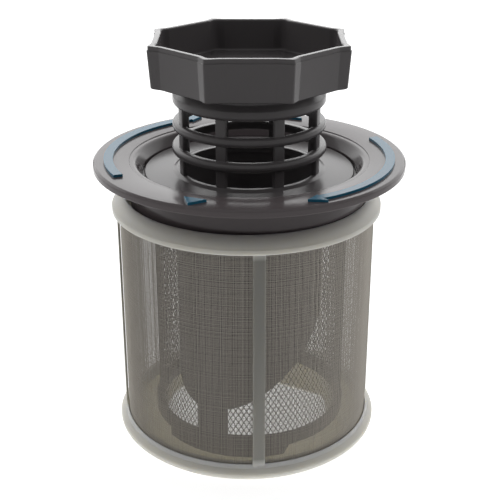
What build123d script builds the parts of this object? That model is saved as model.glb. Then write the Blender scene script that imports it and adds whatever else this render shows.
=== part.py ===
import os
from math import cos, degrees, radians, sin

from build123d import *

# Dishwasher filter: a micro filter that stands on its foot, and a coarse insert that lifts out of it.
# Millimetres, +Z up. The origin is the centre of the foot, on the surface it stands on.

# Flange ring. Radii are measured from the skirt, and heights from the surface the part stands on.
skirt_radius = 37.4
skirt_wall = 1.6
flange_width = 11.15        # from the skirt's outside to the rim
flange_thickness = 2.4
flange_fall = 0.55          # the top falls this much from the rim to the step round the lip
step_depth = 0.25
lip_width = 1.75            # from the step to the lip
lip_rounding = 1.6
rim_bevel = 0.6
overlap = 0.6               # how far the forms of one moulding run into each other

# Well and seating ledge under the lip
well_inset = 3.8            # from the skirt's outside to the wall of the well
well_depth = 5.9            # from the rim's top to the ledge
ledge_width = 1.6
ledge_thickness = 1.6

# Blue inlays: two turning arrows and two index triangles, placed by shares of the flange's width
inlay_depth = 0.6
inlay_proud = 0.8
inlay_gap = 0.05
stroke_shares = (0.44, 0.7)
barb_shares = (0.37, 0.9)
tip_share = 0.62
index_shares = (0.475, 0.915)
arrow_head_length = 4.58
notch_length = 0.69
arrow_azimuths = {"arrow_right": (22.5, -68.5), "arrow_left": (208.0, 112.0)}
index_azimuth = 244.8       # of the front triangle's inner corner
index_length = 6.86
index_lean = 3.35           # the outer corner stands this far past the inner one

# White frame, which stands a little to the left of the flange
frame_shift = 0.9
sleeve_gap = 2.9            # from the skirt's outside to the mesh's outside
sleeve_wall = 0.3
sleeve_ridge = 0.14
sleeve_ridges = 90
groove_gap = 0.1            # room for the mesh, inside it
groove_outer_gap = 0.2      # and outside it
groove_depth = 1.45
bead_width = 2.2            # from the mesh to the bead's edge
bead_bottom = 76.5
bead_height = 1.8
bead_reach = 0.4            # how far the bead stands out past the slope above it
collar_clearance = 1.0      # from the skirt to the inner edge of the sloped upper ring
collar_height = 2.9
collar_bulge = 0.45         # how far the slope's middle stands out
collar_rounding = 5.0
shelf_rise = 1.1            # from the bead's underside to the shelf that carries the skirt
shelf_width = 2.2
shelf_thickness = 1.6
skirt_height = 9.0          # from the shelf to the top of the ledge
foot_width = 2.75           # from the mesh to the foot's widest part
foot_height = 5.2
foot_sole_width = 1.0
foot_belly = 2.3            # height of the middle of the rolled foot's widest part
foot_belly_half = 0.8
foot_rounding = 1.2
foot_bevel = 0.45
foot_waist = 3.9            # height of the hollow above the roll
foot_lip_width = 0.45
foot_wall = 1.3
floor_thickness = 1.0
floor_width = 11.3          # from the foot's wall to the drain
drain_flat_depth = 7.1      # how far the drain's flat side cuts in
drain_flat_azimuth = 60.0
bar_count = 4
bar_azimuth = 275.4
bar_width = 3.75
bar_thickness = 0.8         # in front of the mesh

# Basket
ledge_clearance = 0.3
bead_step = 0.35
basket_wall = 0.65
basket_ring_wall = 2.3
basket_ring_rise = 3.8      # from the floor to the ring
basket_bead_height = 3.2
basket_lip_height = 1.3
basket_bar_width = 10.51
basket_bar_azimuth = 248.0
window_count = 3
tab_azimuth = 254.55
tab_length = 44.3
tab_floor_gap = 0.3
tab_setback = 0.4
tab_bevel_length = 2.27
gusset_count = 3
gusset_azimuth = 232.0
gusset_spacing = 4.7
gusset_width = 0.8
gusset_angle = 18.0

# Diamond net
net_gap = 0.1
net_wall = 0.5
net_columns = 5
net_rows = 6
net_strand = 1.5
net_lap = 2.0               # how far each net reaches behind the bars beside its window

# Plate, kerb and inner tube
plate_clearance = 0.8       # round the plate, in the well
plate_thickness = 1.8
scrap_gap = 7.2             # from the basket's bars to the inner tube
tube_wall = 1.2
tube_end_middle = 32.0      # height of the slanted end on the axis
tube_end_rise = 20.0        # and how far it rises and falls at the tube's wall
tube_end_azimuth = 230.0    # the side on which it is lowest
throat_inset = 4.1          # from the tube's outside to the cage's inside
kerb_width = 3.27
kerb_height = 0.9

# Cage
rib_count = 8
rib_azimuth = 22.5
rib_sink = 0.5              # from the cage's inside to the ribs
rib_depth = 1.75
rib_width = 3.65
fin_widths = (4.25, 4.55)
fin_rises = (14.0, 6.5)     # from the plate to each fin's underside
fin_thickness = 2.75
fin_bevel = 0.7

# Neck
band_width = 4.1
band_rise = 21.2            # from the plate to the band's underside
band_height = 2.8
band_bevel = 0.4
neck_height = 4.9
neck_top_width = 4.6
neck_top_drop = 0.3         # straight part between the neck's slope and the cup
neck_width = 1.9
neck_waist = 1.8            # height of the straight waist
neck_foot_width = 3.2

# Cup handle, four lobes with flats between them
cup_depth = 10.0
cup_floor_thickness = 2.0
cup_wall = 2.0
lobe_face_width = 9.5       # from the cage's inside to the middle of a lobe's face
lobe_face_half = 7.8
lobe_corner_width = 10.4
lobe_corner_half = 12.5
flat_corner_width = 6.7
flat_corner_half = 14.4
lobe_rounding = 2.0
corner_rounding = 0.8
mouth_bevel = 0.4
mouth_bevel_height = 1.3
base_bevel = 0.6

# Radii that follow from the sizes above
flange_radius = skirt_radius + flange_width
step_radius = skirt_radius
lip_radius = step_radius - lip_width
well_radius = skirt_radius - well_inset
ledge_radius = well_radius - ledge_width
stroke_inner, stroke_outer = (step_radius + share * flange_width for share in stroke_shares)
barb_inner, barb_outer = (step_radius + share * flange_width for share in barb_shares)
arrow_tip_radius = step_radius + tip_share * flange_width
index_inner, index_outer = (step_radius + share * flange_width for share in index_shares)
sleeve_outer = skirt_radius + sleeve_gap
sleeve_inner = sleeve_outer - sleeve_wall
groove_inner = sleeve_inner - groove_gap
groove_outer = sleeve_outer + groove_outer_gap
bead_radius = sleeve_outer + bead_width
collar_radius = skirt_radius + collar_clearance
shelf_radius = skirt_radius - shelf_width
foot_radius = sleeve_outer + foot_width
foot_sole = sleeve_outer + foot_sole_width
foot_lip = sleeve_outer + foot_lip_width
foot_inner = groove_inner - foot_wall
drain_radius = foot_inner - floor_width
drain_flat = drain_radius - drain_flat_depth
bar_radius = sleeve_outer + bar_thickness
plate_radius = well_radius - plate_clearance
basket_radius = ledge_radius - ledge_clearance
basket_outer = basket_radius - bead_step
basket_inner = basket_outer - basket_wall
net_outer = basket_inner - net_gap
tube_radius = basket_inner - scrap_gap
tube_inner = tube_radius - tube_wall
cage_inner = tube_radius - throat_inset
kerb_radius = cage_inner + kerb_width
band_radius = cage_inner + band_width
neck_top_radius = cage_inner + neck_top_width
neck_radius = cage_inner + neck_width
neck_foot_radius = cage_inner + neck_foot_width
lobe_face = cage_inner + lobe_face_width
lobe_corner = cage_inner + lobe_corner_width
flat_corner = cage_inner + flat_corner_width

# Heights that follow from them
sleeve_bottom = foot_height - groove_depth
sleeve_top = bead_bottom + groove_depth
bead_top = bead_bottom + bead_height
collar_top = bead_top + collar_height
skirt_bottom = bead_bottom + shelf_rise
ledge_top = skirt_bottom + skirt_height
flange_top = ledge_top + well_depth
flange_underside = flange_top - flange_thickness
basket_ring_bottom = floor_thickness + basket_ring_rise
basket_bead_top = basket_ring_bottom + basket_bead_height
basket_ring_top = basket_bead_top + basket_lip_height
tab_bottom = floor_thickness + tab_floor_gap
plate_bottom = ledge_top
plate_top = plate_bottom + plate_thickness
band_bottom = plate_top + band_rise
band_top = band_bottom + band_height
cup_base = band_top + neck_height
cup_floor = cup_base + cup_floor_thickness
rim_top = cup_floor + cup_depth

frame_axis = Pos(-frame_shift, 0, 0)


def sweep(length, radius):
    """Angle in degrees that a length takes up on a circle."""
    return degrees(length / radius)


def at(radius, azimuth, height=0.0):
    """Point at a radius, an azimuth in degrees and a height."""
    turn = radians(azimuth)
    return (radius * cos(turn), radius * sin(turn), height)


def turned(*corners):
    """Ring turned about Z from (radius, height, rounding) corners of its section."""
    points = [(radius, height) for radius, height, rounding in corners]
    roundings = [rounding for radius, height, rounding in corners]
    section = make_face(FilletPolyline(*points, radius=roundings, close=True).edges())
    return revolve(Plane.XZ * section, Axis.Z)


def band(inner, outer, start, end):
    """Flat piece of a ring, from the start to the end azimuth, anticlockwise."""
    far = CenterArc((0, 0), outer, start, end - start)
    near = CenterArc((0, 0), inner, start, end - start)
    return make_face([far, near, Line(near @ 0, far @ 0), Line(near @ 1, far @ 1)])


def curved_wall(inner, outer, start, end, bottom, top):
    """Upright wall that follows a circle."""
    return Pos(0, 0, bottom) * extrude(band(inner, outer, start, end), amount=top - bottom)


def flange_surface(radius):
    """Height of the flange's sloping top."""
    slope = flange_fall / (flange_radius - step_radius)
    return flange_top - slope * (flange_radius - radius)


def flange_layer(below, above):
    """Layer that follows the flange's top, from below it to above it."""
    inner, outer = step_radius + overlap, flange_radius
    return turned(
        (inner, flange_surface(inner) - below, 0),
        (outer, flange_surface(outer) - below, 0),
        (outer, flange_surface(outer) + above, 0),
        (inner, flange_surface(inner) + above, 0),
    )


def arrow_outline(tail, tip):
    """Arrow that runs clockwise from its tail to its tip."""
    middle = (stroke_inner + stroke_outer) / 2
    barb = tip + sweep(arrow_head_length, middle)
    notch = barb - sweep(notch_length, middle)
    head = make_face(Polyline(
        at(arrow_tip_radius, tip)[:2],
        at(barb_inner, barb)[:2],
        at(middle, notch)[:2],
        at(barb_outer, barb)[:2],
        close=True,
    ))
    return band(stroke_inner, stroke_outer, notch, tail) + head


def index_outline(turn):
    """Triangle that points anticlockwise, turned from the front by an angle."""
    start = index_azimuth + turn
    return make_face(Polyline(
        at(index_inner, start)[:2],
        at(index_outer, start + sweep(index_lean, index_inner))[:2],
        at(index_inner, start + sweep(index_length, index_inner))[:2],
        close=True,
    ))


inlay_outlines = {name: arrow_outline(tail, tip) for name, (tail, tip) in arrow_azimuths.items()}
inlay_outlines["index_front"] = index_outline(0)
inlay_outlines["index_rear"] = index_outline(180)


def raised(outline):
    """Outline drawn up through the flange, to be cut to a layer."""
    return Pos(0, 0, ledge_top) * extrude(outline, amount=2 * (flange_top - ledge_top))


def make_inlay(outline):
    return raised(outline) & flange_layer(inlay_depth, inlay_proud)


def make_flange_seat():
    step_height = flange_surface(step_radius)
    ring = turned(
        (flange_radius, flange_underside, 0),
        (flange_radius, flange_top - rim_bevel, 0),
        (flange_radius - rim_bevel, flange_top, 0),
        (step_radius, step_height, 0),
        (step_radius, step_height - step_depth, 0),
        (lip_radius, step_height - step_depth, lip_rounding),
        (well_radius, ledge_top + plate_thickness, 0),
        (well_radius, ledge_top, 0),
        (ledge_radius, ledge_top, 0),
        (ledge_radius, ledge_top - ledge_thickness, 0),
        (skirt_radius - skirt_wall, ledge_top - ledge_thickness, 0),
        (skirt_radius - skirt_wall, skirt_bottom, 0),
        (skirt_radius, skirt_bottom, 0),
        (skirt_radius, flange_underside, 0),
    )
    pockets = flange_layer(inlay_depth, flange_thickness)
    for outline in inlay_outlines.values():
        ring -= raised(offset(outline, inlay_gap)) & pockets
    return ring


def make_mesh_frame():
    slope_middle = ((collar_radius + bead_radius) / 2, (collar_top + bead_top) / 2)
    upper_ring = turned(
        (collar_radius, skirt_bottom, 0),
        (collar_radius, collar_top, 0),
        (slope_middle[0] + collar_bulge, slope_middle[1] + collar_bulge, collar_rounding),
        (bead_radius - bead_reach, bead_top, 0),
        (bead_radius, bead_top - bead_reach, 0),
        (bead_radius, bead_bottom, 0),
        (groove_outer, bead_bottom, 0),
        (groove_outer, sleeve_top, 0),
        (groove_inner, sleeve_top, 0),
        (groove_inner, skirt_bottom - shelf_thickness, 0),
        (shelf_radius, skirt_bottom - shelf_thickness, 0),
        (shelf_radius, skirt_bottom, 0),
    )
    foot = turned(
        (drain_radius, 0, 0),
        (foot_sole, 0, 0),
        (foot_radius, foot_belly - foot_belly_half, foot_rounding),
        (foot_radius, foot_belly + foot_belly_half - foot_bevel, 0),
        (foot_radius - foot_bevel, foot_belly + foot_belly_half, 0),
        (foot_sole, foot_waist, 0),
        (foot_lip, foot_height, 0),
        (groove_outer, foot_height, 0),
        (groove_outer, sleeve_bottom, 0),
        (groove_inner, sleeve_bottom, 0),
        (groove_inner, foot_height, 0),
        (foot_inner, foot_height, 0),
        (foot_inner, floor_thickness, 0),
        (drain_radius, floor_thickness, 0),
    )
    frame = upper_ring + foot + drain_web()
    half = sweep(bar_width, bar_radius) / 2
    bottom, top = foot_height - overlap, bead_bottom + overlap
    bar = curved_wall(groove_outer, bar_radius, -half, half, bottom, top)
    for index in range(bar_count):
        frame += Rot(0, 0, bar_azimuth + index * 360 / bar_count) * bar
    return frame_axis * frame


def drain_web():
    """Flat side of the drain: the segment of the floor that closes one edge of the round opening."""
    disc = Circle(drain_radius + overlap)
    beyond = Pos(drain_flat + drain_radius, 0) * Rectangle(2 * drain_radius, 3 * drain_radius)
    return extrude(disc & (Rot(0, 0, drain_flat_azimuth) * beyond), amount=floor_thickness)


def make_mesh_sleeve():
    outside, inside = [], []
    for index in range(2 * sleeve_ridges):
        turn = index * 180 / sleeve_ridges
        outside.append(at(sleeve_outer - sleeve_ridge * (index % 2), turn)[:2])
        inside.append(at(sleeve_inner, turn)[:2])
    wall = make_face(Polyline(*outside, close=True)) - make_face(Polyline(*inside, close=True))
    return frame_axis * Pos(0, 0, sleeve_bottom) * extrude(wall, amount=sleeve_top - sleeve_bottom)


def cup_outline():
    """Plan of the cup: each lobe has a sunk face between two corners, and flats join the lobes."""
    corners = []
    for turn in (0, 90, 180, 270):
        for depth, half, rounding in (
            (flat_corner, -flat_corner_half, corner_rounding),
            (lobe_corner, -lobe_corner_half, corner_rounding),
            (lobe_face, -lobe_face_half, lobe_rounding),
            (lobe_face, lobe_face_half, lobe_rounding),
            (lobe_corner, lobe_corner_half, corner_rounding),
            (flat_corner, flat_corner_half, corner_rounding),
        ):
            corner = Vector(depth, half).rotate(Axis.Z, turn)
            corners.append((corner.X, corner.Y, rounding))
    points = [(x, y) for x, y, rounding in corners]
    roundings = [rounding for x, y, rounding in corners]
    return make_face(FilletPolyline(*points, radius=roundings, close=True).edges())


def make_cup():
    cup = Pos(0, 0, cup_base) * extrude(cup_outline(), amount=rim_top - cup_base)
    cup = chamfer(cup.faces().sort_by(Axis.Z)[0].edges(), base_bevel)
    top = cup.faces().sort_by(Axis.Z)[-1]
    cup = chamfer(top.edges(), mouth_bevel, mouth_bevel_height, reference=top)
    hollow = offset(cup_outline(), -cup_wall)
    return cup - Pos(0, 0, cup_floor) * extrude(hollow, amount=rim_top - cup_floor)


def make_neck():
    waist = (cup_base + band_top) / 2
    return turned(
        (cage_inner, cup_base, 0),
        (neck_top_radius, cup_base, 0),
        (neck_top_radius, cup_base - neck_top_drop, 0),
        (neck_radius, waist + neck_waist / 2, 0),
        (neck_radius, waist - neck_waist / 2, 0),
        (neck_foot_radius, band_top, 0),
        (band_radius, band_top - band_bevel, 0),
        (band_radius, band_bottom + band_bevel, 0),
        (neck_foot_radius, band_bottom, 0),
        (cage_inner, band_bottom, 0),
    )


def make_cage():
    """Ribs that stand on the kerb and carry the neck, with fins round them."""
    bottom = plate_top + kerb_height
    middle = cage_inner + rib_sink + rib_depth / 2
    rib = Pos(middle, 0, (bottom + band_bottom) / 2) * Box(rib_depth, rib_width, band_bottom - bottom)
    cage = Rot(0, 0, rib_azimuth) * rib
    for index in range(1, rib_count):
        cage += Rot(0, 0, rib_azimuth + index * 360 / rib_count) * rib
    for width, rise in zip(fin_widths, fin_rises):
        radius, bottom = cage_inner + width, plate_top + rise
        cage += turned(
            (cage_inner, bottom, 0),
            (radius - fin_bevel, bottom, 0),
            (radius, bottom + fin_bevel, 0),
            (radius, bottom + fin_thickness - fin_bevel, 0),
            (radius - fin_bevel, bottom + fin_thickness, 0),
            (cage_inner, bottom + fin_thickness, 0),
        )
    return cage


def make_plate():
    return turned(
        (cage_inner, plate_bottom, 0),
        (plate_radius, plate_bottom, 0),
        (plate_radius, plate_top, 0),
        (kerb_radius, plate_top, 0),
        (kerb_radius - kerb_height / 2, plate_top + kerb_height, 0),
        (cage_inner, plate_top + kerb_height, 0),
    )


def make_tube():
    """Inner tube, cut off at a slant."""
    lowest = tube_end_middle - tube_end_rise
    wall = Circle(tube_radius) - Circle(tube_inner)
    tube = Pos(0, 0, lowest) * extrude(wall, amount=plate_bottom - lowest)
    lean = at(tube_end_rise / tube_radius, tube_end_azimuth, 1.0)
    slant = Plane(origin=(0, 0, tube_end_middle), z_dir=lean)
    return split(tube, bisect_by=slant, keep=Keep.TOP)


def make_tab():
    """Tab under the basket ring, with one bevelled end and slanted gussets on its face."""
    inner = basket_radius - basket_ring_wall
    outer = basket_radius - tab_setback
    half = sweep(tab_length, basket_radius) / 2
    start, end = tab_azimuth - half, tab_azimuth + half
    tab = curved_wall(inner, outer, start, end, tab_bottom, basket_ring_bottom)
    rise = basket_ring_bottom - tab_bottom
    corner = at(basket_radius, end - sweep(tab_bevel_length, basket_radius), tab_bottom)
    along = at(rise, end + 90)
    slope = Plane(origin=corner, z_dir=(-along[0], -along[1], tab_bevel_length))
    tab = split(tab, bisect_by=slope, keep=Keep.TOP)
    middle = (tab_bottom + basket_ring_bottom) / 2
    wall = basket_radius - outer
    gusset = Box(2 * wall, gusset_width, rise - gusset_width / 2)
    for index in range(gusset_count):
        azimuth = gusset_azimuth + index * sweep(gusset_spacing, basket_radius)
        tab += Rot(0, 0, azimuth) * Pos(outer, 0, middle) * Rot(gusset_angle, 0, 0) * gusset
    return tab


bar_sweep = sweep(basket_bar_width, basket_radius)
window_sweep = 360 / window_count - bar_sweep
window_start = basket_bar_azimuth + bar_sweep / 2
net_turn = window_sweep / (net_columns + 0.5)


def make_basket():
    """Basket ring with its tab, and bars that stand between the windows."""
    inner = basket_radius - basket_ring_wall
    basket = turned(
        (inner, basket_ring_bottom, 0),
        (basket_radius, basket_ring_bottom, 0),
        (basket_radius, basket_bead_top, 0),
        (basket_outer, basket_bead_top, 0),
        (basket_outer, plate_bottom, 0),
        (basket_inner, plate_bottom, 0),
        (basket_inner, basket_bead_top, 0),
        (inner, basket_bead_top, 0),
    )
    for index in range(window_count):
        start = window_start + index * 360 / window_count
        end, top = start + window_sweep, plate_bottom + overlap
        basket -= curved_wall(inner, basket_radius, start, end, basket_ring_top, top)
    return basket + make_tab()


def make_net():
    """Net of one window: rows of diamond gaps between edges that lap behind the bars."""
    lap = sweep(net_lap, net_outer)
    turns = [net_turn * step / 2 for step in range(2 * net_columns + 2)]
    turns = [-lap] + turns + [window_sweep + lap]
    outside = [at(net_outer, turn)[:2] for turn in turns]
    inside = [at(net_outer - net_wall, turn)[:2] for turn in reversed(turns)]
    wall = make_face(Polyline(*outside, *inside, close=True))
    net = Pos(0, 0, basket_bead_top) * extrude(wall, amount=plate_bottom - basket_bead_top)
    rise = (plate_bottom - basket_ring_top) / (net_rows + 1)
    half_width = radians(net_turn) * net_outer / 2 - net_strand / 2
    half_height = rise - net_strand
    corners = ((-half_width, 0), (0, -half_height), (half_width, 0), (0, half_height))
    diamond = make_face(Polyline(*corners, close=True))
    gaps = []
    for row in range(net_rows):
        for column in range(net_columns):
            turn = net_turn * (column + 0.5 + 0.5 * (row % 2))
            spot = at(net_outer - net_wall / 2, turn, basket_ring_top + rise * (row + 1))
            face = Plane(origin=spot, x_dir=at(1, turn + 90), z_dir=at(1, turn))
            gaps.append(extrude(face * diamond, amount=2 * net_wall, both=True))
    return net - gaps


parts = {
    "flange_seat": make_flange_seat(),
    "mesh_frame": make_mesh_frame(),
    "mesh_sleeve": make_mesh_sleeve(),
    "cup_handle": make_cup(),
    "neck": make_neck(),
    "cage": make_cage(),
    "inner_tube": make_plate() + make_tube(),
    "basket_frame": make_basket(),
}
for index, name in enumerate(("net_right", "net_rear", "net_left")):
    parts[name] = Rot(0, 0, window_start + index * 360 / window_count) * make_net()
for name, outline in inlay_outlines.items():
    parts[name] = make_inlay(outline)

os.makedirs("parts", exist_ok=True)
for name, shape in parts.items():
    export_step(shape, f"parts/{name}.step")
    print(name, "solids", len(shape.solids()), "volume", round(shape.volume, 1))
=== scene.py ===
import math

import bmesh
import bpy
from mathutils import Matrix, Vector


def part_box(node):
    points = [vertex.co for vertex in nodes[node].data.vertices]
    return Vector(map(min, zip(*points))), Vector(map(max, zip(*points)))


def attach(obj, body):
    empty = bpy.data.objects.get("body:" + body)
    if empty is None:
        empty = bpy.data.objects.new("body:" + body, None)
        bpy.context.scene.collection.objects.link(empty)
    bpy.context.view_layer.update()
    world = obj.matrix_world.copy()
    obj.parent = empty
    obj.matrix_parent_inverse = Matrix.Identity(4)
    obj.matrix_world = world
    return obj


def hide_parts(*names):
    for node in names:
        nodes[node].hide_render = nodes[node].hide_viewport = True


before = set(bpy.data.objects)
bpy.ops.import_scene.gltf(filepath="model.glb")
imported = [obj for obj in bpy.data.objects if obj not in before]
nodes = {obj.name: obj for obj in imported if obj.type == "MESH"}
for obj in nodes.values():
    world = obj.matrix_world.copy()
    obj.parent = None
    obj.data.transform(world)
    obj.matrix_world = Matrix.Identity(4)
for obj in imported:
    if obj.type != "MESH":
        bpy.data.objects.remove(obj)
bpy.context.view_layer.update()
print("frame loaded, nodes:", ", ".join(sorted(nodes)))


# Node helpers

def addNode(tree, kind, links=None, **settings):
    node = tree.nodes.new(kind)
    for key, value in settings.items():
        setattr(node, key, value)
    for key, value in (links or {}).items():
        if isinstance(value, bpy.types.NodeSocket):
            tree.links.new(value, node.inputs[key])
        else:
            node.inputs[key].default_value = value
    return node


def maths(tree, operation, first, second=0.0):
    return addNode(tree, "ShaderNodeMath", {0: first, 1: second}, operation=operation).outputs[0]


# Shader groups

def startGroup(name, inputs, outputs):
    tree = bpy.data.node_groups.new(name, "ShaderNodeTree")
    for label, kind, value in inputs:
        socket = tree.interface.new_socket(label, in_out="INPUT", socket_type=kind)
        socket.default_value = value
    for label, kind in outputs:
        tree.interface.new_socket(label, in_out="OUTPUT", socket_type=kind)
    return tree, tree.nodes.new("NodeGroupInput"), tree.nodes.new("NodeGroupOutput")


skinPattern = {
    "flowDetail": 3,
    "grainDetail": 2,
    "waveDetail": 1,
    "noiseMiddle": 0.5,      # the value that the noise swings round
}


def makeMouldedSkin():
    tree, given, put = startGroup(
        "mouldedSkin",
        [
            ("Colour", "NodeSocketColor", (0.5, 0.5, 0.5, 1)),
            ("Roughness", "NodeSocketFloat", 0.4),
            ("Mottle", "NodeSocketFloat", 0.05),       # how far the colour drifts
            ("Sheen drift", "NodeSocketFloat", 0.05),  # how far the roughness drifts
            ("Flow scale", "NodeSocketFloat", 60),     # the higher, the finer
            ("Grain scale", "NodeSocketFloat", 1500),
            ("Wave", "NodeSocketFloat", 0),            # long waves, as multiples of the grain's height
            ("Wave scale", "NodeSocketFloat", 130),
        ],
        [
            ("Colour", "NodeSocketColor"),
            ("Roughness", "NodeSocketFloat"),
            ("Height", "NodeSocketFloat"),
        ],
    )
    value = given.outputs
    place = addNode(tree, "ShaderNodeTexCoord").outputs["Object"]

    def noise(scale, detail):
        settings = {"Vector": place, "Scale": value[scale], "Detail": skinPattern[detail]}
        return addNode(tree, "ShaderNodeTexNoise", settings).outputs["Fac"]

    centred = maths(tree, "SUBTRACT", noise("Flow scale", "flowDetail"), skinPattern["noiseMiddle"])
    bright = maths(tree, "ADD", maths(tree, "MULTIPLY", centred, value["Mottle"]), 1.0)
    scaled = {0: value["Colour"], "Scale": bright}
    tinted = addNode(tree, "ShaderNodeVectorMath", scaled, operation="SCALE")
    dull = maths(tree, "MULTIPLY", centred, value["Sheen drift"])
    swell = maths(tree, "MULTIPLY", noise("Wave scale", "waveDetail"), value["Wave"])
    tree.links.new(tinted.outputs["Vector"], put.inputs["Colour"])
    tree.links.new(maths(tree, "ADD", dull, value["Roughness"]), put.inputs["Roughness"])
    tree.links.new(maths(tree, "ADD", swell, noise("Grain scale", "grainDetail")), put.inputs["Height"])
    return tree


mouldedSkin = makeMouldedSkin()
print("shader groups built")


# Materials

mouldedFinish = {
    "bevelSamples": 6,
    "grainHeight": 0.00005,
    "milkyReach": (1, 0.95, 0.8),    # how far each colour travels inside, as a share of the depth
    "milkyDepth": 0.003,
}


# mask over the heights of the thin bars, where painted shade darkens the pale plastic
def barShadeMask(tree, look):
    place = addNode(tree, "ShaderNodeTexCoord").outputs["Object"]
    height = addNode(tree, "ShaderNodeSeparateXYZ", {"Vector": place}).outputs["Z"]
    masks = []
    for end, fade in zip(look["barSpan"], (look["barFade"], -look["barFade"])):
        limits = {"Value": height, "From Min": end, "From Max": end + fade}
        masks.append(addNode(tree, "ShaderNodeMapRange", limits).outputs["Result"])
    return maths(tree, "MULTIPLY", *masks)


def plasticMaterial(name, look):
    material = bpy.data.materials.new(name)
    material.use_nodes = True
    tree = material.node_tree
    shader = tree.nodes["Principled BSDF"]
    skin = addNode(tree, "ShaderNodeGroup", {
        "Colour": (*look["colour"], 1),
        "Roughness": look["roughness"],
        "Mottle": look["mottle"],
        "Sheen drift": look["sheenDrift"],
        "Wave": look.get("wave", 0),
    }, node_tree=mouldedSkin)
    colour = skin.outputs["Colour"]
    if "barShadeColour" in look:  # painted shade: the thin bars get a darker colour that stands in for the shaded inside showing through them
        colour = addNode(tree, "ShaderNodeMix", {
            "Factor": barShadeMask(tree, look),
            "A": colour,
            "B": (*look["barShadeColour"], 1),
        }, data_type="RGBA").outputs["Result"]
    # moulded edges are soft enough to catch the light
    samples = mouldedFinish["bevelSamples"]
    rounded = addNode(tree, "ShaderNodeBevel", {"Radius": look["edge"]}, samples=samples)
    grain = addNode(tree, "ShaderNodeBump", {
        "Strength": look["grain"],
        "Distance": mouldedFinish["grainHeight"],
        "Height": skin.outputs["Height"],
        "Normal": rounded.outputs["Normal"],
    })
    tree.links.new(colour, shader.inputs["Base Color"])
    tree.links.new(skin.outputs["Roughness"], shader.inputs["Roughness"])
    tree.links.new(grain.outputs["Normal"], shader.inputs["Normal"])
    shader.inputs["IOR"].default_value = look["ior"]
    shader.inputs["Specular IOR Level"].default_value = look["specular"]
    shader.inputs["Subsurface Weight"].default_value = look.get("milky", 0)
    shader.inputs["Subsurface Radius"].default_value = mouldedFinish["milkyReach"]
    shader.inputs["Subsurface Scale"].default_value = mouldedFinish["milkyDepth"]
    return material


greyLook = {
    "colour": (0.102, 0.087, 0.09), "roughness": 0.17, "mottle": 0.08, "sheenDrift": 0.08,
    "grain": 0.1, "wave": 6, "edge": 0.0003, "ior": 1.5, "specular": 0.2,
}
insertLook = {
    "colour": (0.09, 0.083, 0.085), "roughness": 0.23, "mottle": 0.08, "sheenDrift": 0.08,
    "grain": 0.15, "wave": 3, "edge": 0.0003, "ior": 1.5, "specular": 0.22,
}
paleLook = {
    "colour": (0.6, 0.59, 0.55), "roughness": 0.45, "mottle": 0.04, "sheenDrift": 0.05,
    "grain": 0.2, "edge": 0.0003, "ior": 1.48, "specular": 0.3, "milky": 1.0,
    # painted shade: the thin bars are the same pale plastic, given this darker colour for the shaded
    # inside that shows through them
    "barShadeColour": (0.25, 0.246, 0.226),
    "barSpan": (0.0052, 0.076),      # heights between which the frame is only thin bars
    "barFade": 0.002,
}
blueLook = {
    "colour": (0.012, 0.13, 0.22), "roughness": 0.25, "mottle": 0.04, "sheenDrift": 0.05,
    "grain": 0.1, "edge": 0.00015, "ior": 1.5, "specular": 0.25,
}
netLook = {
    "colour": (0.04, 0.038, 0.036), "roughness": 0.4, "mottle": 0.05, "sheenDrift": 0.05,
    "grain": 0.1, "edge": 0.00005, "ior": 1.5, "specular": 0.3,
}
steelLook = {"colour": (0.33, 0.308, 0.275), "roughness": 0.42}


def wireMaterial(name, look):
    material = bpy.data.materials.new(name)
    material.use_nodes = True
    shader = material.node_tree.nodes["Principled BSDF"]
    shader.inputs["Base Color"].default_value = (*look["colour"], 1)
    shader.inputs["Metallic"].default_value = 1
    shader.inputs["Roughness"].default_value = look["roughness"]
    return material


greyPlastic = plasticMaterial("greyPlastic", greyLook)
insertPlastic = plasticMaterial("insertPlastic", insertLook)
palePlastic = plasticMaterial("palePlastic", paleLook)
blueInlay = plasticMaterial("blueInlay", blueLook)
netPlastic = plasticMaterial("netPlastic", netLook)
steelWire = wireMaterial("steelWire", steelLook)
print("materials built")


# Moulded pieces that keep their solids' shape

finishes = {
    "mesh_frame": palePlastic,
    "basket_frame": insertPlastic,
    "arrow_left": blueInlay,
    "arrow_right": blueInlay,
    "index_front": blueInlay,
    "index_rear": blueInlay,
}
for name, material in finishes.items():
    mesh = nodes[name].data
    mesh.materials.clear()
    mesh.materials.append(material)
    mesh.polygons.foreach_set("use_smooth", [True] * len(mesh.polygons))
print("moulded pieces dressed")


# Geometry node helpers

def startTree(name, inputs):
    tree = bpy.data.node_groups.new(name, "GeometryNodeTree")
    tree.interface.new_socket("Geometry", in_out="OUTPUT", socket_type="NodeSocketGeometry")
    for label, kind in inputs.items():
        tree.interface.new_socket(label, in_out="INPUT", socket_type=kind)
    return tree, tree.nodes.new("NodeGroupInput"), tree.nodes.new("NodeGroupOutput")


def joinShapes(tree, shapes):
    joined = tree.nodes.new("GeometryNodeJoinGeometry")
    for shape in shapes:
        tree.links.new(shape, joined.inputs["Geometry"])
    return joined.outputs["Geometry"]


def sweep(tree, curve, section, capped=False):
    return addNode(tree, "GeometryNodeCurveToMesh", {
        "Curve": curve,
        "Profile Curve": section,
        "Fill Caps": capped,
    }).outputs["Mesh"]


def spotsInPlace(tree, count):
    return addNode(tree, "GeometryNodeMeshLine", {"Count": count, "Offset": (0, 0, 0)}).outputs["Mesh"]


def copiesOnSpots(tree, spots, shape, places):
    moved = addNode(tree, "GeometryNodeSetPosition", {"Geometry": spots, "Position": places})
    copies = addNode(tree, "GeometryNodeInstanceOnPoints", {
        "Points": moved.outputs["Geometry"],
        "Instance": shape,
    })
    return copies.outputs["Instances"]


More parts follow.
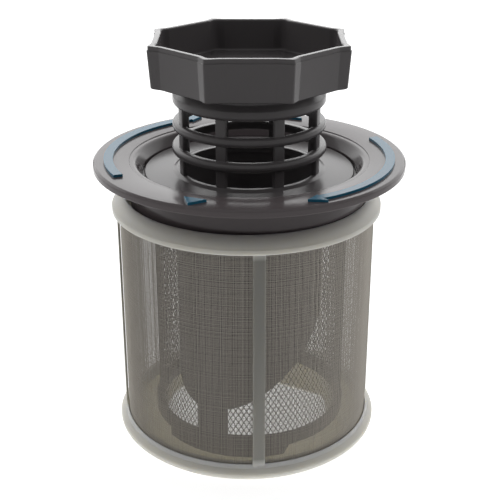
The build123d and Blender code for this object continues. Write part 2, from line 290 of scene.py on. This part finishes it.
def copiesRoundAxis(tree, shape, count, first=0.0):
    index = addNode(tree, "GeometryNodeInputIndex").outputs["Index"]
    turn = maths(tree, "MULTIPLY", maths(tree, "DIVIDE", index, count), 2 * math.pi)
    turned = addNode(tree, "ShaderNodeCombineXYZ", {"Z": maths(tree, "ADD", turn, first)})
    copies = addNode(tree, "GeometryNodeInstanceOnPoints", {
        "Points": spotsInPlace(tree, count),
        "Instance": shape,
        "Rotation": turned.outputs["Vector"],
    })
    return copies.outputs["Instances"]


def finishTree(tree, given, put, shape):
    real = addNode(tree, "GeometryNodeRealizeInstances", {"Geometry": shape})
    coated = addNode(tree, "GeometryNodeSetMaterial", {
        "Geometry": real.outputs["Geometry"],
        "Material": given.outputs["Material"],
    })
    tree.links.new(coated.outputs["Geometry"], put.inputs["Geometry"])


def meshFromTree(tree, name, values):
    holder = bpy.data.objects.new(name, bpy.data.meshes.new(name + "Start"))
    bpy.context.scene.collection.objects.link(holder)
    modifier = holder.modifiers.new("growth", "NODES")
    modifier.node_group = tree
    for item in tree.interface.items_tree:
        if item.in_out == "INPUT":
            modifier[item.identifier] = values[item.name]
    grown = holder.evaluated_get(bpy.context.evaluated_depsgraph_get())
    mesh = bpy.data.meshes.new_from_object(grown)
    holder.modifiers.clear()
    holder.data = mesh
    mesh.name = name
    mesh.calc_loop_triangles()
    print(name, "made,", len(mesh.loop_triangles), "triangles")
    return holder


# Rounded outlines and the shells made from them

shellQuality = {
    "arcSteps": 32,          # steps in a full turn of a rounded corner
    "segments": 192,         # steps round the axis
    "sharpAngle": 28,        # degrees, edges bent further than this stay sharp
}


def roundedOutline(corners, arcSteps=shellQuality["arcSteps"]):
    points = []
    for index, (x, y, rounding) in enumerate(corners):
        here = Vector((x, y))
        before = (Vector(corners[index - 1][:2]) - here).normalized()
        after = (Vector(corners[(index + 1) % len(corners)][:2]) - here).normalized()
        if rounding == 0:
            points.append(here)
            continue
        opening = before.angle(after)
        reach = rounding / math.tan(opening / 2)
        centre = here + (before + after).normalized() * rounding / math.sin(opening / 2)
        start = here + before * reach - centre
        side = 1 if before.x * after.y - before.y * after.x < 0 else -1
        swing = (math.pi - opening) * side
        steps = max(2, round(arcSteps * abs(swing) / (2 * math.pi)))
        for step in range(steps + 1):
            points.append(centre + Matrix.Rotation(swing * step / steps, 2) @ start)
    return points


def finishShell(shell, name, material, sharpAngle):
    bmesh.ops.recalc_face_normals(shell, faces=shell.faces)
    mesh = bpy.data.meshes.new(name)
    shell.to_mesh(mesh)
    shell.free()
    mesh.materials.append(material)
    mesh.polygons.foreach_set("use_smooth", [True] * len(mesh.polygons))
    mesh.set_sharp_from_angle(angle=math.radians(sharpAngle))
    piece = bpy.data.objects.new(name, mesh)
    bpy.context.scene.collection.objects.link(piece)
    mesh.calc_loop_triangles()
    print(name, "made,", len(mesh.loop_triangles), "triangles")
    return piece


def turnedPiece(name, outlines, material, segments=shellQuality["segments"]):
    shell = bmesh.new()
    for outline in outlines:
        points = roundedOutline(outline)
        rings = []
        for index in range(segments):
            turn = 2 * math.pi * index / segments
            ring = [(point.x * math.cos(turn), point.x * math.sin(turn), point.y) for point in points]
            rings.append([shell.verts.new(place) for place in ring])
        for index, ring in enumerate(rings):
            following = rings[(index + 1) % segments]
            for low in range(len(points)):
                high = (low + 1) % len(points)
                shell.faces.new((ring[low], following[low], following[high], ring[high]))
    return finishShell(shell, name, material, shellQuality["sharpAngle"])


# Flange with its lip, the well, the seating ledge and the skirt

flangeRing = {
    "width": 0.01115,        # from the skirt's outside to the rim
    "thickness": 0.0024,
    "fall": 0.00055,         # from the rim's top to the step
    "rimDrop": 0.0006,       # the rim's edge stands this much below the top
    "rimSlope": 0.0007,      # width of the slope that leads down to it
    "rimRounding": 0.0003,
    "stepDepth": 0.00025,
    "stepRounding": 0.0001,
    "lipWidth": 0.00175,
    "lipRounding": 0.0016,
    "wellInset": 0.0038,     # from the skirt's outside to the well
    "wellDepth": 0.0059,     # from the rim's top to the ledge
    "wellFootRounding": 0.0002,
    "ledgeWidth": 0.0016,
    "ledgeThickness": 0.0016,
    "skirtWall": 0.0016,
    "edge": 0.0003,
    "hollow": 0.0007,        # rounding between the skirt and the flange's underside
    "segments": 288,
}


def makeFlangeRing():
    size = flangeRing
    low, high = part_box("flange_seat")
    rim, top, edge = high.x, high.z, size["edge"]
    underside = top - size["thickness"]
    step = rim - size["width"]
    stepTop = top - size["fall"]
    stepFoot = stepTop - size["stepDepth"]
    well = step - size["wellInset"]
    inside = well - size["ledgeWidth"]
    ledge = top - size["wellDepth"]
    ledgeFoot = ledge - size["ledgeThickness"]
    skirtInside = step - size["skirtWall"]
    outline = [
        (rim, underside, size["rimRounding"]),
        (rim, top - size["rimDrop"], size["rimRounding"]),
        (rim - size["rimSlope"], top, size["rimRounding"]),
        (step, stepTop, size["stepRounding"]),
        (step, stepFoot, size["stepRounding"]),
        (step - size["lipWidth"], stepFoot, size["lipRounding"]),
        (well, insertBody["plateTop"], edge),
        (well, ledge, size["wellFootRounding"]),
        (inside, ledge, edge),
        (inside, ledgeFoot, edge),
        (skirtInside, ledgeFoot, edge),
        (skirtInside, low.z, edge),
        (step, low.z, edge),
        (step, underside, size["hollow"]),
    ]
    ring = turnedPiece("flangeRing", [outline], greyPlastic, size["segments"])
    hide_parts("flange_seat")
    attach(ring, "micro_filter")


# Plate, kerb and inner tube of the insert

insertBody = {
    "plateTop": 0.0884,
    "plateThickness": 0.0018,
    "plateRounding": 0.0002,
    "plateRimRounding": 0.0004,
    "throat": 0.0211,        # radius of the way in, inside the kerb
    "throatRounding": 0.0003,
    "kerbWidth": 0.0015,
    "kerbHeight": 0.0006,
    "kerbRounding": 0.00025,
    "kerbFlow": 0.0012,      # hollow rounding between kerb and plate
    "tubeRadius": 0.0235,
    "tubeWall": 0.0012,
    "tubeSinks": 0.0001,     # how far the tube runs into the plate
    "tubeEndMiddle": 0.032,  # height of the slanted end on the axis
    "tubeEndRise": 0.02,
    "tubeEndAzimuth": 230,
}


def makeInsertBody():
    size = insertBody
    low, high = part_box("inner_tube")
    plateTop, throat = size["plateTop"], size["throat"]
    plateBottom = plateTop - size["plateThickness"]
    kerb = throat + size["kerbWidth"]
    kerbTop = plateTop + size["kerbHeight"]
    plate = [
        (throat, plateBottom, size["plateRounding"]),
        (high.x, plateBottom, size["plateRounding"]),
        (high.x, plateTop, size["plateRimRounding"]),
        (kerb + size["kerbFlow"], plateTop, size["kerbFlow"]),
        (kerb, kerbTop, size["kerbRounding"]),
        (throat, kerbTop, size["throatRounding"]),
    ]
    outer = size["tubeRadius"]
    inner = outer - size["tubeWall"]
    seat = plateBottom + size["tubeSinks"]
    tube = [(inner, low.z, 0), (outer, low.z, 0), (outer, seat, 0), (inner, seat, 0)]
    body = turnedPiece("insertBody", [plate, tube], insertPlastic)
    # the tube's end is cut off at a slant, lowest towards the azimuth
    lowest = math.radians(size["tubeEndAzimuth"])
    halfway = (low.z + plateBottom) / 2
    for vertex in body.data.vertices:
        place = vertex.co
        if place.z < halfway:
            reach = place.x * math.cos(lowest) + place.y * math.sin(lowest)
            place.z = size["tubeEndMiddle"] - size["tubeEndRise"] * reach / size["tubeRadius"]
    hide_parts("inner_tube")
    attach(body, "coarse_insert")


# the well's wall begins at the height of the plate's top, so both are made here
makeFlangeRing()
makeInsertBody()


# Neck between the cage and the cup

neckPiece = {
    "bore": 0.0194,
    "boreRounding": 0.0002,
    "bandRadius": 0.0235,
    "bandHeight": 0.0029,
    "bandRounding": 0.0008,
    "bandFootRounding": 0.0013,
    "shoulder": 0.0019,      # the slope above the band is this high
    "waist": 0.0223,
    "waistRounding": 0.0006,
    "intoCup": 0.0004,
}


def makeNeckPiece():
    size = neckPiece
    low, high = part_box("neck")
    bandTop = low.z + size["bandHeight"]
    neckTop = high.z + size["intoCup"]
    outline = [
        (size["bore"], low.z, size["boreRounding"]),
        (size["bandRadius"], low.z, size["bandFootRounding"]),
        (size["bandRadius"], bandTop, size["bandRounding"]),
        (size["waist"], bandTop + size["shoulder"], size["waistRounding"]),
        (size["waist"], neckTop, 0),
        (size["bore"], neckTop, 0),
    ]
    neck = turnedPiece("neckPiece", [outline], insertPlastic)
    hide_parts("neck")
    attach(neck, "coarse_insert")


makeNeckPiece()


# Cup handle: four lobes, each with a sunk face between two corners, and flats that join them

cupHandle = {
    "lobeFace": (0.0289, 0.0078, 0.0012),      # from the axis, half width, rounding
    "lobeCorner": (0.0298, 0.0125, 0.0008),
    "flatCorner": (0.0261, 0.0144, 0.001),
    "wall": 0.002,
    "floorThickness": 0.002,
    "floorRounding": 0.0006,
    "floorStrip": 0.0012,    # ring of the floor next to the wall
    "overNeck": 0.0008,      # the cup's edge hangs this far over the neck
    "footStrip": 0.002,      # ring of the underside next to the edge
    "footRounding": 0.0005,
    "draft": 0.0006,         # how much further in the foot of a side stands
    "innerSoftness": 0.8,    # the corners' rounding grows by this share of the depth into the wall
    "lipHeight": 0.0013,     # lip round the mouth, set back by a small step
    "lipStep": 0.00022,
    "lipRounding": 0.00025,
    "mouthRounding": 0.0005,
    "arcSteps": 40,
    "sharpAngle": 18,
}


def cupCorners(inset):
    halfLobe = ["flatCorner", "lobeCorner", "lobeFace"]
    lobe = [(name, -1) for name in halfLobe] + [(name, 1) for name in reversed(halfLobe)]
    corners = []
    for quarter in range(4):
        spin = Matrix.Rotation(math.pi / 2 * quarter, 2)
        for name, side in lobe:
            depth, half, rounding = cupHandle[name]
            corners.append((spin @ Vector((depth, side * half)), rounding))
    moved = []
    for index, (corner, rounding) in enumerate(corners):
        into = (corner - corners[index - 1][0]).normalized()
        out = (corners[(index + 1) % len(corners)][0] - corner).normalized()
        inward = Vector((-into.y, into.x)) + Vector((-out.y, out.x))
        corner = corner + inward * inset / (1 + into.dot(out))
        moved.append((corner.x, corner.y, rounding + cupHandle["innerSoftness"] * inset))
    return moved


def makeCupHandle():
    size = cupHandle
    low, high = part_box("cup_handle")
    foot, rim = low.z - size["overNeck"], high.z
    floorTop = low.z + size["floorThickness"]
    lip = rim - size["lipHeight"]
    draft, wall, step = size["draft"], size["wall"], size["lipStep"]
    section = [  # inset, height and rounding, from the underside up over the rim and down to the floor
        (draft + size["footStrip"], foot, 0),
        (draft, foot, size["footRounding"]),
        (0, lip, 0),
        (step, lip, 0),
        (step, rim, size["lipRounding"]),
        (wall, rim, size["mouthRounding"]),
        (wall, floorTop, size["floorRounding"]),
        (wall + size["floorStrip"], floorTop, 0),
    ]
    shell = bmesh.new()
    rings = []
    for level in roundedOutline(section):
        ring = roundedOutline(cupCorners(level.x), size["arcSteps"])
        rings.append([shell.verts.new((point.x, point.y, level.y)) for point in ring])
    for ring, following in zip(rings, rings[1:]):
        for index in range(len(ring)):
            after = (index + 1) % len(ring)
            shell.faces.new((ring[index], ring[after], following[after], following[index]))
    shell.faces.new(rings[0][::-1])
    shell.faces.new(rings[-1])
    cup = finishShell(shell, "cupHandle", insertPlastic, size["sharpAngle"])
    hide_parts("cup_handle")
    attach(cup, "coarse_insert")


makeCupHandle()


# Cage: ribs between the kerb and the neck, with two fins round them

def makeCageTree():
    tree, given, put = startTree("cageBars", {
        "Ribs": "NodeSocketInt",
        "First rib": "NodeSocketFloat",
        "Rib radius": "NodeSocketFloat",
        "Rib depth": "NodeSocketFloat",
        "Rib width": "NodeSocketFloat",
        "Edge": "NodeSocketFloat",
        "Edge steps": "NodeSocketInt",
        "Bottom": "NodeSocketFloat",
        "Top": "NodeSocketFloat",
        "Fins": "NodeSocketObject",
        "Material": "NodeSocketMaterial",
    })
    value = given.outputs
    section = addNode(tree, "GeometryNodeCurvePrimitiveQuadrilateral", {
        "Width": value["Rib depth"],
        "Height": value["Rib width"],
    })
    soft = addNode(tree, "GeometryNodeFilletCurve", {
        "Curve": section.outputs["Curve"],
        "Radius": value["Edge"],
        "Count": value["Edge steps"],
    }, mode="POLY")
    start = addNode(tree, "ShaderNodeCombineXYZ", {"X": value["Rib radius"], "Z": value["Bottom"]})
    end = addNode(tree, "ShaderNodeCombineXYZ", {"X": value["Rib radius"], "Z": value["Top"]})
    line = addNode(tree, "GeometryNodeCurvePrimitiveLine", {
        "Start": start.outputs["Vector"],
        "End": end.outputs["Vector"],
    })
    rib = sweep(tree, line.outputs["Curve"], soft.outputs["Curve"], capped=True)
    smooth = addNode(tree, "GeometryNodeSetShadeSmooth", {"Geometry": rib})
    ribs = copiesRoundAxis(tree, smooth.outputs["Geometry"], value["Ribs"], value["First rib"])
    fins = addNode(tree, "GeometryNodeObjectInfo", {"Object": value["Fins"]})
    finishTree(tree, given, put, joinShapes(tree, [ribs, fins.outputs["Geometry"]]))
    return tree


cageBars = {
    "ribs": 8,
    "firstRib": 23.2,        # degrees from the x axis
    "ribDepth": 0.0014,
    "ribWidth": 0.0033,
    "edge": 0.0003,
    "edgeSteps": 4,
    "sinks": 0.0004,         # how far the ribs run into what they join
    "finRadii": (0.02365, 0.02395),
    "finMiddles": (0.01475, 0.00725),   # heights above the plate
    "finThickness": 0.00275,
    "finRounding": 0.0012,
    "finInnerRounding": 0.0005,
}


def makeCageBars():
    size = cageBars
    inner = insertBody["throat"]
    outlines = []
    for radius, middle in zip(size["finRadii"], size["finMiddles"]):
        bottom = insertBody["plateTop"] + middle - size["finThickness"] / 2
        top = bottom + size["finThickness"]
        outlines.append([
            (inner, bottom, size["finInnerRounding"]),
            (radius, bottom, size["finRounding"]),
            (radius, top, size["finRounding"]),
            (inner, top, size["finInnerRounding"]),
        ])
    fins = turnedPiece("cageFins", outlines, insertPlastic)
    kerbTop = insertBody["plateTop"] + insertBody["kerbHeight"]
    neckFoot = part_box("cage")[1].z
    bars = meshFromTree(makeCageTree(), "cageBars", {
        "Ribs": size["ribs"],
        "First rib": math.radians(size["firstRib"]),
        "Rib radius": inner + size["ribDepth"] / 2,
        "Rib depth": size["ribDepth"],
        "Rib width": size["ribWidth"],
        "Edge": size["edge"],
        "Edge steps": size["edgeSteps"],
        "Bottom": kerbTop - size["sinks"],
        "Top": neckFoot + size["sinks"],
        "Fins": fins,
        "Material": insertPlastic,
    })
    bpy.data.objects.remove(fins)
    bars.data.set_sharp_from_angle(angle=math.radians(shellQuality["sharpAngle"]))
    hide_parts("cage")
    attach(bars, "coarse_insert")


makeCageBars()


# Woven steel sleeve: upright wires and hoops

def makeWovenTree():
    tree, given, put = startTree("wovenSleeve", {
        "Radius": "NodeSocketFloat",
        "Bottom": "NodeSocketVector",
        "Height": "NodeSocketFloat",
        "Wire radius": "NodeSocketFloat",
        "Wire sides": "NodeSocketInt",
        "Uprights": "NodeSocketInt",
        "Rings": "NodeSocketInt",
        "Ring segments": "NodeSocketInt",
        "Unevenness": "NodeSocketFloat",
        "Seed": "NodeSocketInt",
        "Material": "NodeSocketMaterial",
    })
    value = given.outputs
    section = addNode(tree, "GeometryNodeCurvePrimitiveCircle", {
        "Resolution": value["Wire sides"],
        "Radius": value["Wire radius"],
    }).outputs["Curve"]

    # each wire stands a little off its even place, by a share of the pitch
    index = addNode(tree, "GeometryNodeInputIndex").outputs["Index"]
    off = addNode(tree, "FunctionNodeRandomValue", {
        2: maths(tree, "MULTIPLY", value["Unevenness"], -1.0),
        3: value["Unevenness"],
        "Seed": value["Seed"],
    }, data_type="FLOAT").outputs[1]
    number = maths(tree, "ADD", index, off)

    turn = maths(tree, "MULTIPLY", maths(tree, "DIVIDE", number, value["Uprights"]), 2 * math.pi)
    foot = addNode(tree, "ShaderNodeCombineXYZ", {
        "X": maths(tree, "MULTIPLY", maths(tree, "COSINE", turn), value["Radius"]),
        "Y": maths(tree, "MULTIPLY", maths(tree, "SINE", turn), value["Radius"]),
    })
    top = addNode(tree, "ShaderNodeCombineXYZ", {"Z": value["Height"]})
    upright = addNode(tree, "GeometryNodeCurvePrimitiveLine", {"End": top.outputs["Vector"]})
    post = sweep(tree, upright.outputs["Curve"], section)
    posts = copiesOnSpots(tree, spotsInPlace(tree, value["Uprights"]), post, foot.outputs["Vector"])

    pitch = maths(tree, "DIVIDE", value["Height"], value["Rings"])
    middle = maths(tree, "ADD", number, 0.5)  # hoops stand half a pitch in from the ends
    height = maths(tree, "MULTIPLY", middle, pitch)
    rise = addNode(tree, "ShaderNodeCombineXYZ", {"Z": height})
    circle = addNode(tree, "GeometryNodeCurvePrimitiveCircle", {
        "Resolution": value["Ring segments"],
        "Radius": value["Radius"],
    })
    hoop = sweep(tree, circle.outputs["Curve"], section)
    hoops = copiesOnSpots(tree, spotsInPlace(tree, value["Rings"]), hoop, rise.outputs["Vector"])

    placed = addNode(tree, "GeometryNodeTransform", {
        "Geometry": joinShapes(tree, [posts, hoops]),
        "Translation": value["Bottom"],
    })
    finishTree(tree, given, put, placed.outputs["Geometry"])
    return tree


wovenSleeve = {
    "inWall": 0.00015,       # the wires' middle stands this far inside the solid wall's outside
    "pitch": 0.00036,        # from wire to wire, both ways
    "wireRadius": 0.00008,
    "wireSides": 3,
    "ringSegments": 144,
    "unevenness": 0.28,      # how far a wire stands off its place, as a share of the pitch
    "seed": 4,
}


def makeWovenSleeve():
    size = wovenSleeve
    low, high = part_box("mesh_sleeve")
    radius = (high.x - low.x) / 2 - size["inWall"]
    height = high.z - low.z
    sleeve = meshFromTree(makeWovenTree(), "wovenSleeve", {
        "Radius": radius,
        "Bottom": ((low.x + high.x) / 2, (low.y + high.y) / 2, low.z),
        "Height": height,
        "Wire radius": size["wireRadius"],
        "Wire sides": size["wireSides"],
        "Uprights": round(2 * math.pi * radius / size["pitch"]),
        "Rings": round(height / size["pitch"]),
        "Ring segments": size["ringSegments"],
        "Unevenness": size["unevenness"],
        "Seed": size["seed"],
        "Material": steelWire,
    })
    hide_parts("mesh_sleeve")
    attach(sleeve, "micro_filter")


makeWovenSleeve()


# Diamond net of the basket: strands that wind both ways

def makeNetTree():
    tree, given, put = startTree("diamondNet", {
        "Radius": "NodeSocketFloat",
        "Bottom": "NodeSocketVector",
        "Height": "NodeSocketFloat",
        "Turns": "NodeSocketFloat",
        "Steps per turn": "NodeSocketInt",
        "Strand radius": "NodeSocketFloat",
        "Strand sides": "NodeSocketInt",
        "Strands": "NodeSocketInt",
        "Segments": "NodeSocketInt",
        "Material": "NodeSocketMaterial",
    })
    value = given.outputs
    section = addNode(tree, "GeometryNodeCurvePrimitiveCircle", {
        "Resolution": value["Strand sides"],
        "Radius": value["Strand radius"],
    })
    sets = []
    for reverse in (False, True):
        winding = addNode(tree, "GeometryNodeCurveSpiral", {
            "Resolution": value["Steps per turn"],
            "Rotations": value["Turns"],
            "Start Radius": value["Radius"],
            "End Radius": value["Radius"],
            "Height": value["Height"],
            "Reverse": reverse,
        })
        line = addNode(tree, "GeometryNodeResampleCurve", {
            "Curve": winding.outputs["Curve"],
            "Count": value["Segments"],
        })
        strand = sweep(tree, line.outputs["Curve"], section.outputs["Curve"])
        sets.append(copiesRoundAxis(tree, strand, value["Strands"]))
    placed = addNode(tree, "GeometryNodeTransform", {
        "Geometry": joinShapes(tree, sets),
        "Translation": value["Bottom"],
    })
    finishTree(tree, given, put, placed.outputs["Geometry"])
    return tree


diamondNet = {
    "radius": 0.0303,
    "cellWidth": 0.0017,
    "cellHeight": 0.0028,
    "strandRadius": 0.00014,
    "strandSides": 4,
    "stepsPerTurn": 120,
    "segments": 24,
}


def makeDiamondNet():
    size = diamondNet
    windows = ("net_left", "net_right", "net_rear")
    low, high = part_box(windows[0])
    height = high.z - low.z
    around = 2 * math.pi * size["radius"]
    travel = height * size["cellWidth"] / size["cellHeight"]
    net = meshFromTree(makeNetTree(), "diamondNet", {
        "Radius": size["radius"],
        "Bottom": (0, 0, low.z),
        "Height": height,
        "Turns": travel / around,
        "Steps per turn": size["stepsPerTurn"],
        "Strand radius": size["strandRadius"],
        "Strand sides": size["strandSides"],
        "Strands": round(around / size["cellWidth"]),
        "Segments": size["segments"],
        "Material": netPlastic,
    })
    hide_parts(*windows)
    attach(net, "coarse_insert")


makeDiamondNet()


# Studio

studio = {
    "back": 1.55,            # brightness of the soft panel behind, where white is 1
    "panelSize": (4.2, 1.3),
    "panelPlace": (0, 1.1, 0.78),
    "sides": 1.4,            # brightness of the soft light from both sides
    "sidesFoot": (0.16, 0.36),       # it fades in over this height, where 1 is straight up
    "front": 0.0,
    "frontFade": (-0.85, -0.55),     # from front to sides, where -1 is towards the camera
    "behind": 0.0,           # the panel takes over there
    "behindFade": (0.6, 0.8),        # where 1 is straight behind
    "above": 0.15,
    "aboveFade": (0.68, 0.84),
    "floorSize": 6,
    "floorColour": (0.86, 0.86, 0.86),
    "floorLift": 0.6,
    "footGlow": 0.8,         # pale light that the white table throws up round the foot
    "glowFade": (0.06, 0.16),        # distances from the axis over which it fades out
}


def ramp(tree, value, limits, start, end):
    return addNode(tree, "ShaderNodeMapRange", {
        "Value": value,
        "From Min": limits[0],
        "From Max": limits[1],
        "To Min": start,
        "To Max": end,
    }, interpolation_type="SMOOTHSTEP").outputs["Result"]


def blend(tree, share, first, second):
    ends = {"Factor": share, "A": first, "B": second}
    return addNode(tree, "ShaderNodeMix", ends, data_type="FLOAT").outputs["Result"]


def plainRays(tree):
    rays = addNode(tree, "ShaderNodeLightPath")
    seen = rays.outputs["Is Camera Ray"]
    for name in ("Is Transmission Ray", "Is Glossy Ray"):
        seen = maths(tree, "MAXIMUM", seen, rays.outputs[name])
    return seen


def makeWorld():
    world = bpy.data.worlds.new("studio")
    bpy.context.scene.world = world
    world.use_nodes = True
    tree = world.node_tree
    tree.nodes.clear()
    direction = addNode(tree, "ShaderNodeTexCoord").outputs["Generated"]
    height = addNode(tree, "ShaderNodeSeparateXYZ", {"Vector": direction}).outputs["Z"]
    level = addNode(tree, "ShaderNodeVectorMath", {0: direction, 1: (1, 1, 0)}, operation="MULTIPLY")
    heading = addNode(tree, "ShaderNodeVectorMath", {0: level.outputs[0]}, operation="NORMALIZE")
    bearing = addNode(tree, "ShaderNodeSeparateXYZ", {"Vector": heading.outputs[0]}).outputs["Y"]
    beside = ramp(tree, bearing, studio["frontFade"], studio["front"], studio["sides"])
    sides = maths(tree, "MULTIPLY", beside, ramp(tree, height, studio["sidesFoot"], 0.0, 1.0))
    behind = ramp(tree, bearing, studio["behindFade"], 0.0, 1.0)
    around = blend(tree, behind, sides, studio["behind"])
    overhead = ramp(tree, height, studio["aboveFade"], 0.0, 1.0)
    strength = blend(tree, overhead, around, studio["above"])
    light = addNode(tree, "ShaderNodeBackground", {"Color": (1, 1, 1, 1), "Strength": strength})
    seen = addNode(tree, "ShaderNodeBackground", {"Color": (1, 1, 1, 1), "Strength": 1.0})
    mix = addNode(tree, "ShaderNodeMixShader", {
        0: plainRays(tree),
        1: light.outputs["Background"],
        2: seen.outputs["Background"],
    })
    addNode(tree, "ShaderNodeOutputWorld", {"Surface": mix.outputs["Shader"]})


def makeBackPanel():
    wide, tall = studio["panelSize"]
    lamp = bpy.data.lights.new("backPanel", "AREA")
    lamp.shape = "RECTANGLE"
    lamp.size = wide
    lamp.size_y = tall
    lamp.energy = studio["back"] * math.pi * wide * tall
    panel = bpy.data.objects.new("backPanel", lamp)
    bpy.context.scene.collection.objects.link(panel)
    panel.location = studio["panelPlace"]
    panel.rotation_euler = (-panel.location).to_track_quat("-Z", "Y").to_euler()
    panel.visible_camera = False


def makeFloor():
    bpy.ops.mesh.primitive_plane_add(size=studio["floorSize"])
    floor = bpy.context.object
    floor.name = "floor"
    paint = bpy.data.materials.new("paleFloor")
    paint.use_nodes = True
    tree = paint.node_tree
    tree.nodes.clear()
    place = addNode(tree, "ShaderNodeTexCoord").outputs["Object"]
    away = addNode(tree, "ShaderNodeVectorMath", {0: place}, operation="LENGTH").outputs["Value"]
    near = ramp(tree, away, studio["glowFade"], studio["footGlow"], 0.0)
    lifted = blend(tree, plainRays(tree), near, studio["floorLift"])
    matt = addNode(tree, "ShaderNodeBsdfDiffuse", {"Color": (*studio["floorColour"], 1)})
    glow = addNode(tree, "ShaderNodeEmission", {"Strength": lifted})
    both = addNode(tree, "ShaderNodeAddShader", {0: matt.outputs["BSDF"], 1: glow.outputs["Emission"]})
    addNode(tree, "ShaderNodeOutputMaterial", {"Surface": both.outputs["Shader"]})
    floor.data.materials.append(paint)


makeWorld()
makeBackPanel()
makeFloor()
print("studio lit")


# Camera

photoView = {
    "aimHeight": 0.060,      # the height on the axis that the camera looks at
    "distance": 0.3415,
    "elevation": 23.36,      # degrees above the horizon
    "side": 0.00023,         # the camera stands this far to the right of the axis
    "lens": 75.7,
    "sensorWidth": 36,
    "nearClip": 0.01,
}


def makeCamera():
    camera = bpy.data.objects.new("camera", bpy.data.cameras.new("camera"))
    bpy.context.scene.collection.objects.link(camera)
    tilt = math.radians(photoView["elevation"])
    back = photoView["distance"] * math.cos(tilt)
    rise = photoView["distance"] * math.sin(tilt)
    camera.location = (photoView["side"], -back, photoView["aimHeight"] + rise)
    camera.rotation_euler = (math.radians(90) - tilt, 0, 0)
    camera.data.lens = photoView["lens"]
    camera.data.sensor_width = photoView["sensorWidth"]
    camera.data.clip_start = photoView["nearClip"]
    bpy.context.scene.camera = camera


makeCamera()
bpy.context.scene.view_settings.view_transform = "Standard"
